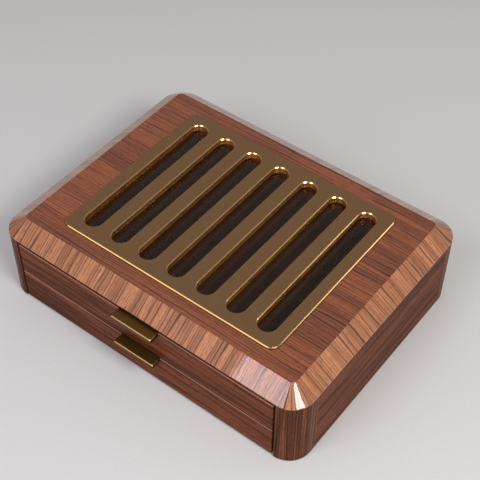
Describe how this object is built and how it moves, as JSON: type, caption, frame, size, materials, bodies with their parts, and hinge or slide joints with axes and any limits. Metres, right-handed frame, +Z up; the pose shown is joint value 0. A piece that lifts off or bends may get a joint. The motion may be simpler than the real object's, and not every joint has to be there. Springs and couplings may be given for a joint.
{
  "type": "pen collector chest",
  "caption": "Low wooden chest with a bevelled lid, a slotted metal and glass display window, and two shallow drawers with padded grooves that hold pens in a row.",
  "frame": {"origin": "on the resting plane, under the middle of the case's outline (the pull tabs in front aren't counted)", "axes": "+X to the right along the front, +Y to the back, +Z up; the drawers open along -Y"},
  "size_m": [0.3, 0.2392, 0.0812],
  "materials": {
    "walnut_lacquer": "walnut veneer under clear gloss lacquer",
    "walnut_satin": "oiled walnut, satin",
    "birch_board": "birch plywood, sealed",
    "beech_strip": "waxed beech",
    "satin_brass": "fine-blasted satin with bright cut edges",
    "brushed_bronze": "brushed, antiqued, with bright cut edges",
    "black_gasket": "matt",
    "window_glass": "clear float glass",
    "steel_screw": "zinc plated",
    "base_felt": "wool felt",
    "soft_bumper": "soft, matt",
    "tray_foam": "dense moulded foam",
    "tray_cloth": "short-pile velvet"
  },
  "bodies": {
    "case": {"top_board": "walnut_lacquer", "window_plate": "satin_brass", "window_gasket": "black_gasket", "window_glass": "window_glass", "plate_screws": "steel_screw", "left_side": "walnut_lacquer", "right_side": "walnut_lacquer", "back_panel": "walnut_lacquer", "front_left_post": "walnut_lacquer", "front_right_post": "walnut_lacquer", "back_left_post": "walnut_lacquer", "back_right_post": "walnut_lacquer", "base_board": "birch_board", "dust_board": "birch_board", "base_felt": "base_felt", "base_screws": "steel_screw", "top_cleat_left": "beech_strip", "top_cleat_right": "beech_strip", "top_screws": "steel_screw", "lower_runner_left": "beech_strip", "lower_runner_right": "beech_strip", "upper_runner_left": "beech_strip", "upper_runner_right": "beech_strip", "runner_screws": "steel_screw", "drawer_bumpers": "soft_bumper"},
    "upper_drawer": {"upper_front": "walnut_lacquer", "upper_side_left": "walnut_satin", "upper_side_right": "walnut_satin", "upper_back": "walnut_satin", "upper_bottom": "birch_board", "upper_tray_base": "birch_board", "upper_tray_ridges": "tray_foam", "upper_tray_ends": "tray_cloth", "upper_tray_lining": "tray_cloth", "upper_pull_tab": "brushed_bronze", "upper_pull_screws": "steel_screw"},
    "lower_drawer": {"lower_front": "walnut_lacquer", "lower_side_left": "walnut_satin", "lower_side_right": "walnut_satin", "lower_back": "walnut_satin", "lower_bottom": "birch_board", "lower_tray_base": "birch_board", "lower_tray_ridges": "tray_foam", "lower_tray_ends": "tray_cloth", "lower_tray_lining": "tray_cloth", "lower_pull_tab": "brushed_bronze", "lower_pull_screws": "steel_screw"}
  },
  "joints": [
    {"name": "upper_drawer_slide", "type": "slide", "parent": "case", "child": "upper_drawer", "axis": [0, -1, 0], "range_m": [0, 0.15]},
    {"name": "lower_drawer_slide", "type": "slide", "parent": "case", "child": "lower_drawer", "axis": [0, -1, 0], "range_m": [0, 0.15]}
  ]
}
